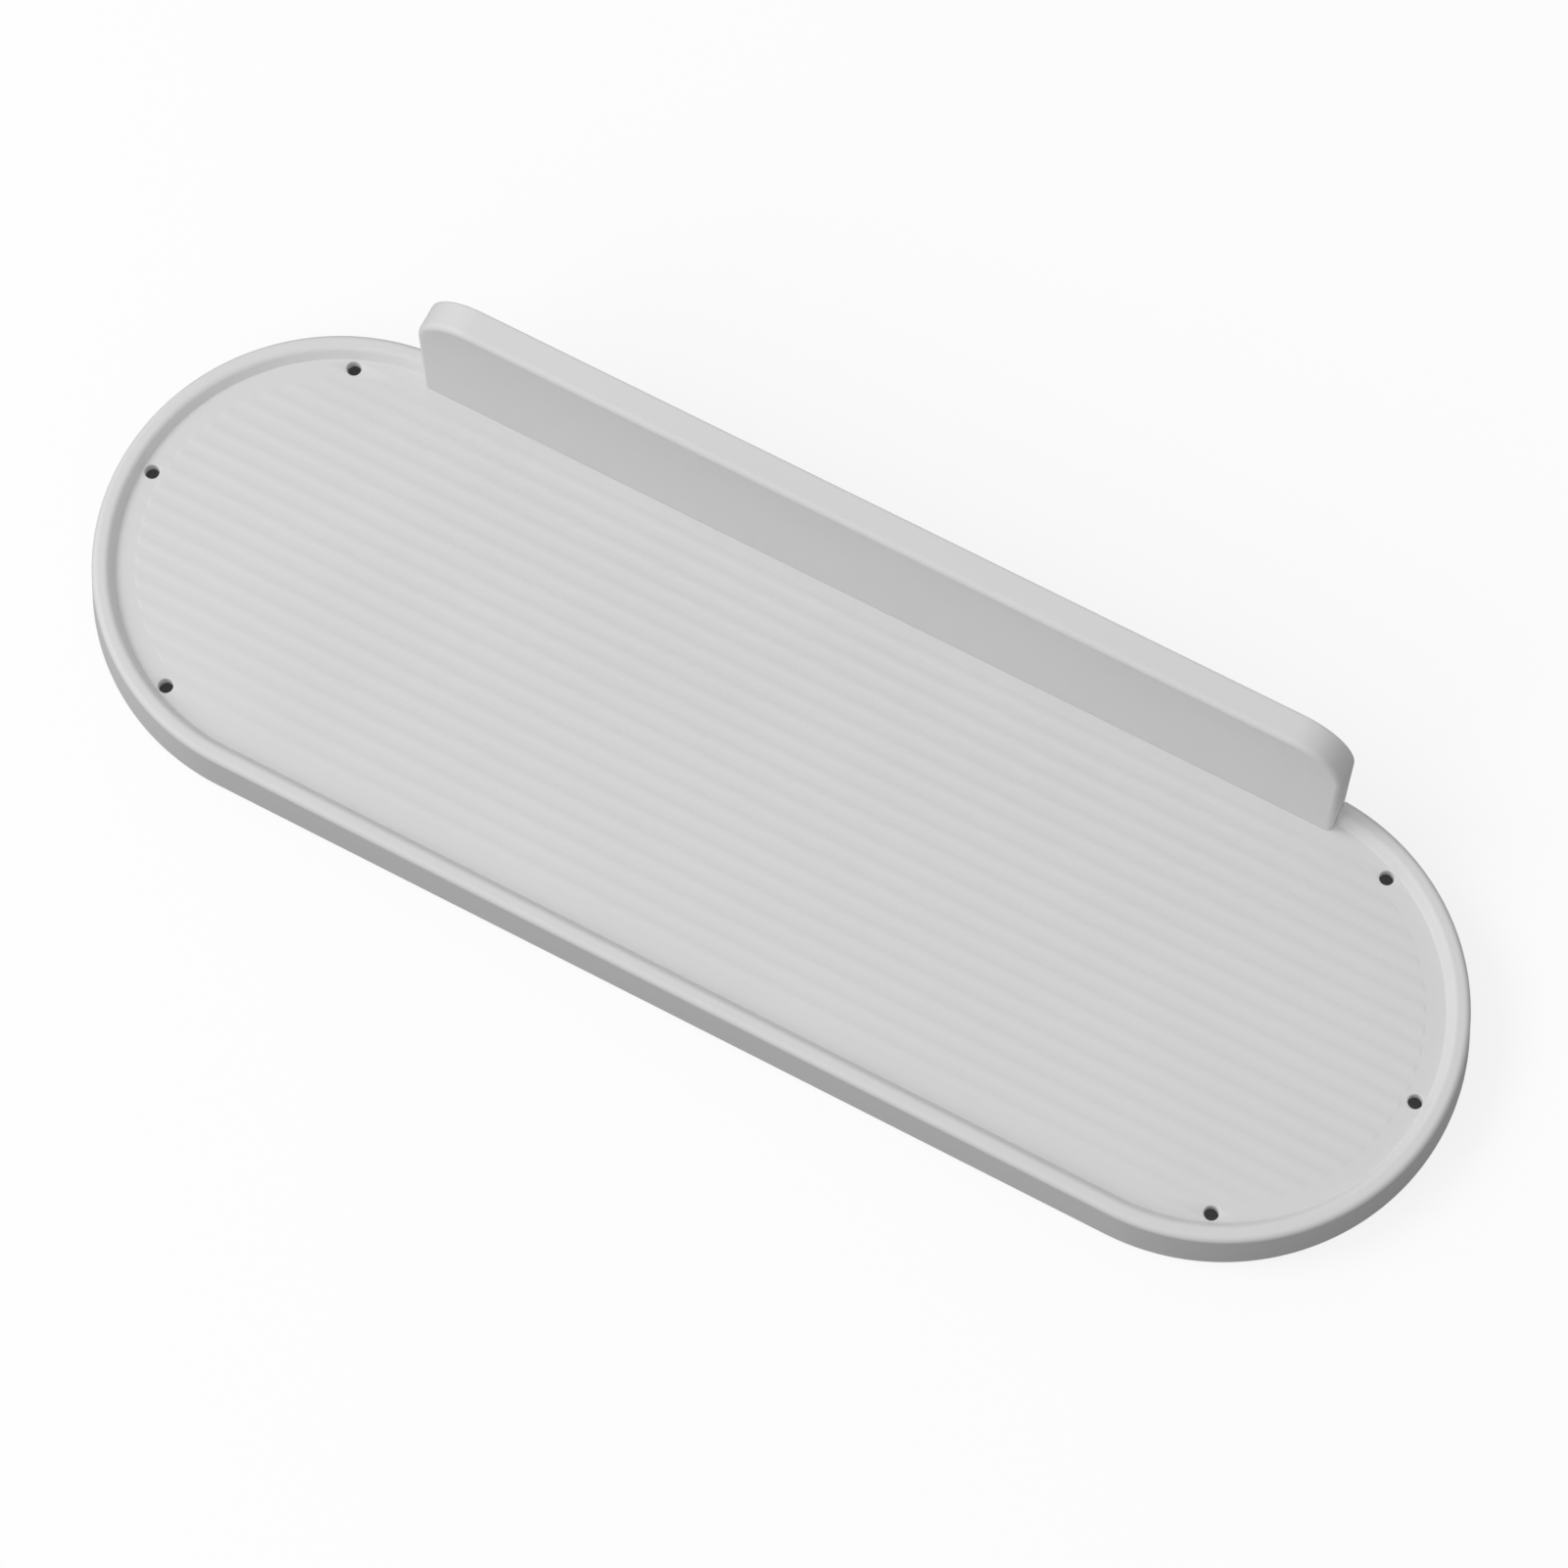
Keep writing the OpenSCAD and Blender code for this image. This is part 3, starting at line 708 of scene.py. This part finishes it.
class SHELF_OT_upstand(Operator):
    """Builds the hollow upstand with its screw bosses and hanging pockets"""

    bl_idname = "shelf.upstand"
    bl_label = "Upstand"

    def execute(self, context):
        upstand, plate = context.scene.shelf_upstand, context.scene.shelf_plate
        hollow_y = FRONT_Y + upstand.wall
        tip = SCREWS_HIGH.z
        boss_r, edge = upstand.boss / 2, 0.4 * MM
        boss_top = tip + upstand.screw
        boss = lathe("boss", [(boss_r, FLOOR_Z + upstand.foot / 2)]
                     + arc((boss_r - edge, boss_top - edge), edge, 0, 90, 4), 40)
        pilot_r = upstand.screw / 2 + PILOT_PLAY
        pilot = lathe("pilot", [(pilot_r, FLOOR_Z - OVER), (pilot_r, tip + upstand.screw / 2)], 40)
        # T shaped slot in a block under the top of the hollow
        inside = plate.tongue_head / 2 + upstand.slide_gap
        outside = inside + upstand.pocket_wall
        mouth = plate.tongue_neck / 2 + upstand.slide_gap
        plate_front = -(PAD_HIGH.y - PAD_LOW.y) - plate.thickness
        lip_back = plate_front - upstand.slide_gap
        lip_front = PLATE_LOW.y + plate.tongue_head_t + upstand.slide_gap
        low, roof = -plate.tongue_height / 2, plate.tongue_height / 2 + REST_GAP
        pocket = block("pocket", (-outside, hollow_y - upstand.wall / 2, low),
                       (outside, lip_back, UPSTAND_HIGH.z - upstand.wall / 2), POCKET_EDGE)
        front, back = hollow_y - 2 * HAIR, lip_back + OVER
        plan = [(-inside, front), (inside, front), (inside, lip_front), (mouth, lip_front),
                (mouth, back), (-mouth, back), (-mouth, lip_front), (-inside, lip_front)]
        loops = [[(x, y, z) for x, y in plan] for z in (low - OVER, roof)]
        slot = mesh_object("pocket_slot", *skin(loops))
        values = {
            **screw_row(upstand), "Pocket place": plate.tongue_x,
            "Boss": boss, "Pilot hole": pilot, "Pocket": pocket, "Pocket slot": slot,
            "Material": shelf_plastic(context.scene.shelf_finish),
        }
        piece = grow(upstand_shell(upstand), upstand_tree(), values)
        seat(piece, "shelf", "shelf_plastic", "upstand")
        return {"FINISHED"}


def screw_thread(upstand, core, low, high):
    """Thread of a screw: a sharp ridge wound up the core and run out at both ends."""
    steps = 20
    turns = (high - low) / upstand.thread_pitch
    crest = upstand.screw / 2
    count = round(turns * steps)
    loops = []
    for step in range(count + 1):
        turn = 2.0 * pi * step / steps
        z = low + (high - low) * step / count
        near_end = min(step, count - step, steps) / steps
        tip = core + (crest - core) * near_end
        half = upstand.thread_pitch * 0.3
        section = [(core * 0.9, -half), (tip, -half * 0.15), (tip, half * 0.15), (core * 0.9, half)]
        loops.append([(r * cos(turn), r * sin(turn), z + dz) for r, dz in section])
    return mesh_object("thread", *skin(loops))


def screw_tree():
    """Cuts the cross recess into a screw and repeats it along the upstand."""
    sketch, given = geometry_tree("Upstand screws", SCREW_ROW, ("Recess", "Thread"))
    recess = pattern(sketch, given["Recess"])
    quarter = sketch.put("GeometryNodeTransform", {
        "Geometry": recess, "Rotation": (0.0, 0.0, pi / 2)})
    driven = cut(sketch, given["Geometry"], recess, quarter)
    thread = pattern(sketch, given["Thread"])
    whole = sketch.put("GeometryNodeJoinGeometry", {0: [thread, driven]})
    close_tree(sketch, given, repeat(sketch, 4, screw_place(sketch, given), whole))
    return sketch


class SHELF_OT_screws(Operator):
    """Builds the pan head screws that hold the upstand on the tray"""

    bl_idname = "shelf.screws"
    bl_label = "Upstand screws"

    def execute(self, context):
        upstand = context.scene.shelf_upstand
        head_r, head_h = upstand.screw_head / 2, upstand.screw_head_height
        low, tip = SCREWS_LOW.z, SCREWS_HIGH.z
        under = low + head_h
        core = upstand.screw * 0.38
        dome = (head_h ** 2 + head_r ** 2) / (2 * head_h)
        reach = degrees(asin(head_r / dome))
        cap = arc((0.0, low + dome), dome, -90, -90 + reach, 10)
        section = cap[1:] + [(head_r - HAIR, under - HAIR), (head_r - 2 * HAIR, under)]
        section += [(core + SMALL_EDGE, under), (core, under + SMALL_EDGE)]
        section += [(core, tip - upstand.screw / 2), (upstand.screw / 8, tip)]
        blank = lathe("driven_screws", section, 40)
        # Recess with sloping ends
        wide, narrow = head_r * 0.62, head_r * 0.3
        half, depth = head_r / 6, head_h * 0.6
        plan = [(low - OVER, wide), (low, wide), (low + depth, narrow)]
        loops = [[(-r, -half, z), (r, -half, z), (r, half, z), (-r, half, z)] for z, r in plan]
        recess = mesh_object("recess", *skin(loops))
        thread = screw_thread(upstand, core, under + PLAIN_SHANK, tip - upstand.screw / 2)
        values = {
            **screw_row(upstand), "Recess": recess, "Thread": thread,
            "Material": screw_steel(context.scene.shelf_finish),
        }
        piece = grow(blank, screw_tree(), values)
        seat(piece, "shelf", "screw_steel", "upstand_screws")
        return {"FINISHED"}


# Wall plate and adhesive pads

def plate_tree():
    """Joins the tongues to the wall plate."""
    shapes = ("Tongue neck", "Tongue head")
    sketch, given = geometry_tree("Wall plate", ("Tongue place",), shapes)
    pair = row_place(sketch, sketch.times(given["Tongue place"], 2.0), 0.5)
    parts = [repeat(sketch, 2, pair, pattern(sketch, given[label])) for label in shapes]
    close_tree(sketch, given, union(sketch, given["Geometry"], *parts))
    return sketch


class SHELF_OT_wall_plate(Operator):
    """Builds the wall plate with the two tongues that carry the shelf"""

    bl_idname = "shelf.wall_plate"
    bl_label = "Wall plate"

    def execute(self, context):
        plate = context.scene.shelf_plate
        back = PLATE_HIGH.y
        front = back - plate.thickness
        head_back = PLATE_LOW.y + plate.tongue_head_t
        half_l, half_h = PLATE_HIGH.x, PLATE_HIGH.z
        piece = slab("hanging_plate", lambda inset: round_rectangle(
            half_l - inset, half_h - inset, plate.corner - inset), front, back, plate.edge)
        half_t = plate.tongue_height / 2
        head_edge = 0.3 * MM
        head = slab("tongue_head", lambda inset: arch(
            plate.tongue_head / 2 - inset, half_t - inset, plate.tongue_corner - inset,
            -half_t + inset, 8), PLATE_LOW.y, head_back, head_edge)
        neck_l, neck_h = plate.tongue_neck / 2, half_t - 2 * HAIR
        neck = block("tongue_neck", (-neck_l, head_back - plate.tongue_head_t / 2, -neck_h),
                     (neck_l, front + plate.thickness / 2, neck_h), SMALL_EDGE)
        values = {"Tongue place": plate.tongue_x, "Tongue neck": neck, "Tongue head": head,
                  "Material": plate_plastic(context.scene.shelf_finish)}
        grow(piece, plate_tree(), values)
        seat(piece, "wall_mount", "plate_plastic", "wall_plate")
        return {"FINISHED"}


def pad_tree():
    """Repeats an adhesive pad along the wall plate."""
    sketch, given = geometry_tree("Adhesive pads", ("Pad pitch",))
    row = row_place(sketch, given["Pad pitch"], 1.0)
    close_tree(sketch, given, repeat(sketch, 3, row, given["Geometry"]))
    return sketch


class SHELF_OT_adhesive_pads(Operator):
    """Builds the foam pads that stick the wall plate to the wall"""

    bl_idname = "shelf.adhesive_pads"
    bl_label = "Adhesive pads"

    def execute(self, context):
        plate = context.scene.shelf_plate
        half_l, half_h = (PAD_HIGH.x - PAD_LOW.x) / 2, PAD_HIGH.z
        pad = slab("foam_pads", lambda inset: round_rectangle(
            half_l - inset, half_h - inset, plate.pad_corner - inset),
            PAD_LOW.y, PAD_HIGH.y, plate.pad_edge)
        grow(pad, pad_tree(), {"Pad pitch": (PAD_LOW.x + PAD_HIGH.x) / 2,
                               "Material": adhesive_foam(context.scene.shelf_finish)})
        seat(pad, "wall_mount", "adhesive_foam",
             "adhesive_pad_left", "adhesive_pad_middle", "adhesive_pad_right")
        return {"FINISHED"}


# Materials

def surface_grain():
    """Group shared by every finish: a slow drift of tone and a fine grain."""
    name = "Surface grain"
    if name in bpy.data.node_groups:
        return bpy.data.node_groups[name]
    levels = ("Drift", "Drift size", "Roughness", "Roughness spread", "Grain size", "Grain depth")
    sketch, given = node_group(
        name, "ShaderNodeTree", {"Colour": "Color", **dict.fromkeys(levels, "Float")},
        {"Base Color": "Color", "Roughness": "Float", "Normal": "Vector"})
    place = sketch.put("ShaderNodeTexCoord").outputs["Object"]
    slow, fine = [
        sketch.put("ShaderNodeTexNoise", {
            "Vector": place, "Scale": sketch.math("DIVIDE", 1.0, given[size]),
            "Detail": detail, "Roughness": rough}).outputs["Fac"]
        for size, detail, rough in (("Drift size", 3.0, 0.55), ("Grain size", 2.0, 0.6))]
    tone = sketch.math("ADD", sketch.times(slow, 0.7), sketch.times(fine, 0.3))
    level = sketch.math("MULTIPLY_ADD", sketch.minus(tone, 0.5),
                        sketch.times(given["Drift"], 2.0), 1.0)
    tinted = sketch.put("ShaderNodeVectorMath", {0: given["Colour"], 1: level},
                        operation="MULTIPLY")
    rough = sketch.math("MULTIPLY_ADD", sketch.minus(fine, 0.5),
                        given["Roughness spread"], given["Roughness"])
    bump = sketch.put("ShaderNodeBump", {
        "Strength": 1.0, "Distance": given["Grain depth"], "Height": fine})
    sketch.put("NodeGroupOutput", {"Base Color": tinted, "Roughness": rough, "Normal": bump})
    return sketch.tree


def grained(name, base, values, plain=()):
    """A material whose shader takes its tone, roughness and relief from the grain."""
    if name in bpy.data.materials:
        return bpy.data.materials[name]
    material = bpy.data.materials.new(name)
    material.use_nodes = True
    material.diffuse_color = (*base, 1.0)
    sketch = Sketch(material.node_tree)
    shader = material.node_tree.nodes["Principled BSDF"]
    grain = sketch.put("ShaderNodeGroup", {"Colour": (*base, 1.0), **values},
                       node_tree=surface_grain())
    for output in grain.outputs:
        sketch.feed(shader.inputs[output.name], output)
    for key, value in plain:
        sketch.feed(shader.inputs[key], value)
    return material


def shelf_plastic(finish):
    """Matte grey moulded plastic of the tray and the upstand."""
    return grained("shelf plastic", finish.shelf, {
        "Drift": finish.drift, "Drift size": 26.0 * MM, "Roughness": finish.gloss,
        "Roughness spread": 0.12, "Grain size": finish.grain, "Grain depth": finish.grain_depth,
    }, [("Specular IOR Level", 0.2)])


def plate_plastic(finish):
    """White moulded plastic of the wall plate."""
    return grained("plate plastic", finish.plate, {
        "Drift": finish.drift, "Drift size": 18.0 * MM, "Roughness": 0.42,
        "Roughness spread": 0.1, "Grain size": finish.grain, "Grain depth": finish.grain_depth})


def adhesive_foam(finish):
    """Acrylic foam of the adhesive pads."""
    return grained("adhesive foam", finish.foam, {
        "Drift": 0.08, "Drift size": 3.0 * MM, "Roughness": 0.6,
        "Roughness spread": 0.25, "Grain size": 0.3 * MM, "Grain depth": 0.05 * MM})


def screw_steel(finish):
    """Zinc plated steel of the screws."""
    return grained("screw steel", finish.steel, {
        "Drift": 0.1, "Drift size": 0.8 * MM, "Roughness": 0.34,
        "Roughness spread": 0.2, "Grain size": 0.12 * MM, "Grain depth": 0.004 * MM,
    }, [("Metallic", 1.0)])


# Stage

def seen_directly(sketch, path):
    """1 for rays that show the background: from the camera, a reflection or through glass."""
    either = sketch.math("MAXIMUM", path["Is Camera Ray"], path["Is Glossy Ray"])
    return sketch.math("MAXIMUM", either, path["Is Transmission Ray"])


def pale_floor(stage, tray):
    """Floor material: it glows white for camera rays and reflections, keeps a share of the part's
    real shadow, and has painted shade under the part and, in reflections, near it.
    """
    material = bpy.data.materials.new("pale floor")
    material.use_nodes = True
    sketch = Sketch(material.node_tree)
    sketch.tree.nodes.clear()
    path = sketch.put("ShaderNodeLightPath").outputs
    seen = seen_directly(sketch, path)
    # Painted shade: no glow in the resting tray's footprint, so that its drain holes stay dark
    place = sketch.put("ShaderNodeSeparateXYZ", {
        0: sketch.put("ShaderNodeTexCoord").outputs["Object"]}).outputs
    outer = tray.width / 2
    past = sketch.minus(sketch.math("ABSOLUTE", place["X"]), tray.length / 2 - outer)
    plan = sketch.vector(sketch.math("MAXIMUM", past, 0.0),
                         sketch.minus(place["Y"], TRAY_MID_Y), 0.0)
    radius = sketch.put("ShaderNodeVectorMath", {0: plan}, operation="LENGTH").outputs["Value"]
    # Painted shade in reflections: for glossy rays the glowless border reaches floor_shade past the
    # outline, so the gloss sees a dark floor near the part
    border = sketch.math("MULTIPLY_ADD", path["Is Glossy Ray"], stage.floor_shade, outer)
    # Painted shade from ambient occlusion: the floor loses its glow where the part closes in the
    # space above it, and gets it back as the shelf is lifted
    ao_open_share = sketch.put(
        "ShaderNodeAmbientOcclusion", {"Distance": AO_SHADE_REACH}, samples=6).outputs["AO"]
    ao_glow_share = sketch.times(path["Is Camera Ray"], sketch.ramp(ao_open_share, AO_FULL_SHADE, AO_NO_SHADE, 0.0, 1.0))
    beside = sketch.math("MAXIMUM", ao_glow_share, sketch.ramp(radius, outer - tray.skirt, border, 0.0, 1.0))
    shown = sketch.ramp(beside, 0.0, 1.0, stage.painted_shade_tone, stage.floor_tone)
    tone = sketch.ramp(seen, 0.0, 1.0, stage.floor_bounce, shown)
    matte = sketch.put("ShaderNodeBsdfDiffuse", {"Color": tone})
    # Weak light on the underside only
    under = sketch.math("LESS_THAN", radius, outer - tray.skirt)
    lift = sketch.times(path["Is Diffuse Ray"], sketch.times(under, stage.under_light))
    glow = sketch.put("ShaderNodeEmission", {
        "Color": WHITE, "Strength": sketch.math(
            "MULTIPLY_ADD", sketch.times(seen, beside), 1.0 - stage.floor_tone, lift)})
    both = sketch.put("ShaderNodeAddShader", {0: matte, 1: glow})
    # Clear from below, so that the part's underside can be looked at
    clear_back = sketch.put("ShaderNodeMixShader", {
        0: sketch.put("ShaderNodeNewGeometry").outputs["Backfacing"], 1: both,
        2: sketch.put("ShaderNodeBsdfTransparent")})
    sketch.put("ShaderNodeOutputMaterial", {"Surface": clear_back})
    return material


def direction(azimuth, elevation):
    """From the part towards a camera or light: azimuth 0 is in front of it."""
    flat = cos(elevation)
    return Vector((sin(azimuth) * flat, -cos(azimuth) * flat, sin(elevation)))


def aimed(name, data, target, towards, distance):
    """A lamp or camera that looks at a target from a distance."""
    made = linked(name, data)
    made.location = Vector(target) + towards * distance
    made.rotation_euler = (-towards).to_track_quat("-Z", "Y").to_euler()
    return made


def soft_light(stage, name, power, azimuth, elevation):
    """Round soft light that shines on the middle of the tray's floor."""
    lamp = bpy.data.lights.new(name, "AREA")
    lamp.shape = "DISK"
    lamp.size = stage.light_size
    lamp.energy = power
    aimed(name, lamp, (0.0, TRAY_MID_Y, FLOOR_Z), direction(azimuth, elevation),
          stage.light_distance)


class SHELF_OT_stage(Operator):
    """Sets the pale floor, the soft light and the camera"""

    bl_idname = "shelf.stage"
    bl_label = "Stage"

    def execute(self, context):
        scene, stage = context.scene, context.scene.shelf_stage
        scene.view_settings.view_transform = "Standard"
        work = bmesh.new()
        bmesh.ops.create_circle(work, cap_ends=True, segments=96, radius=STAGE_RADIUS)
        for vert in work.verts:
            vert.co.z = BOTTOM_Z - STAGE_GAP
        mesh = bpy.data.meshes.new("pale_floor")
        work.to_mesh(mesh)
        work.free()
        mesh.materials.append(pale_floor(stage, scene.shelf_tray))
        floor = linked("pale_floor", mesh)

        world = bpy.data.worlds.new("soft sky")
        world.use_nodes = True
        scene.world = world
        sketch = Sketch(world.node_tree)
        sky = world.node_tree.nodes["Background"]
        sketch.feed(sky.inputs["Color"], WHITE)
        seen = seen_directly(sketch, sketch.put("ShaderNodeLightPath").outputs)
        sketch.feed(sky.inputs["Strength"], sketch.ramp(seen, 0.0, 1.0, stage.sky, 1.0))

        soft_light(stage, "key", stage.key_power, stage.key_azimuth, stage.key_elevation)
        soft_light(stage, "fill", stage.fill_power, stage.fill_azimuth, stage.fill_elevation)

        lens = bpy.data.cameras.new("camera")
        lens.lens = stage.lens
        lens.sensor_width = 36.0
        lens.clip_start, lens.clip_end = 0.01, 50.0
        scene.camera = aimed("camera", lens, stage.aim,
                             direction(stage.azimuth, stage.elevation), stage.distance)
        return {"FINISHED"}


class SHELF_PT_panel(Panel):
    """Sidebar panel with the builders of every piece"""

    bl_label = "Wall shelf"
    bl_idname = "SHELF_PT_panel"
    bl_space_type = "VIEW_3D"
    bl_region_type = "UI"
    bl_category = "Shelf"

    def draw(self, context):
        for operator in OPERATORS:
            self.layout.operator(operator.bl_idname)
        for name in GROUPS:
            group = getattr(context.scene, name)
            column = self.layout.column(align=True)
            for prop in group.bl_rna.properties:
                if prop.identifier not in ("rna_type", "name"):
                    column.prop(group, prop.identifier)


GROUPS = {
    "shelf_tray": ShelfTraySizes, "shelf_upstand": ShelfUpstandSizes,
    "shelf_plate": ShelfPlateSizes, "shelf_finish": ShelfFinish, "shelf_stage": ShelfStage,
}
OPERATORS = (SHELF_OT_tray, SHELF_OT_upstand, SHELF_OT_screws, SHELF_OT_wall_plate,
             SHELF_OT_adhesive_pads, SHELF_OT_stage)


def register():
    for made in (*GROUPS.values(), *OPERATORS, SHELF_PT_panel):
        bpy.utils.register_class(made)
    for name, group in GROUPS.items():
        setattr(bpy.types.Scene, name, PointerProperty(type=group))


def unregister():
    for name in GROUPS:
        delattr(bpy.types.Scene, name)
    for made in reversed((*GROUPS.values(), *OPERATORS, SHELF_PT_panel)):
        bpy.utils.unregister_class(made)


def main():
    register()
    bpy.ops.shelf.stage()
    bpy.ops.shelf.tray()
    bpy.ops.shelf.upstand()
    bpy.ops.shelf.screws()
    bpy.ops.shelf.wall_plate()
    bpy.ops.shelf.adhesive_pads()


if __name__ == "__main__":
    main()
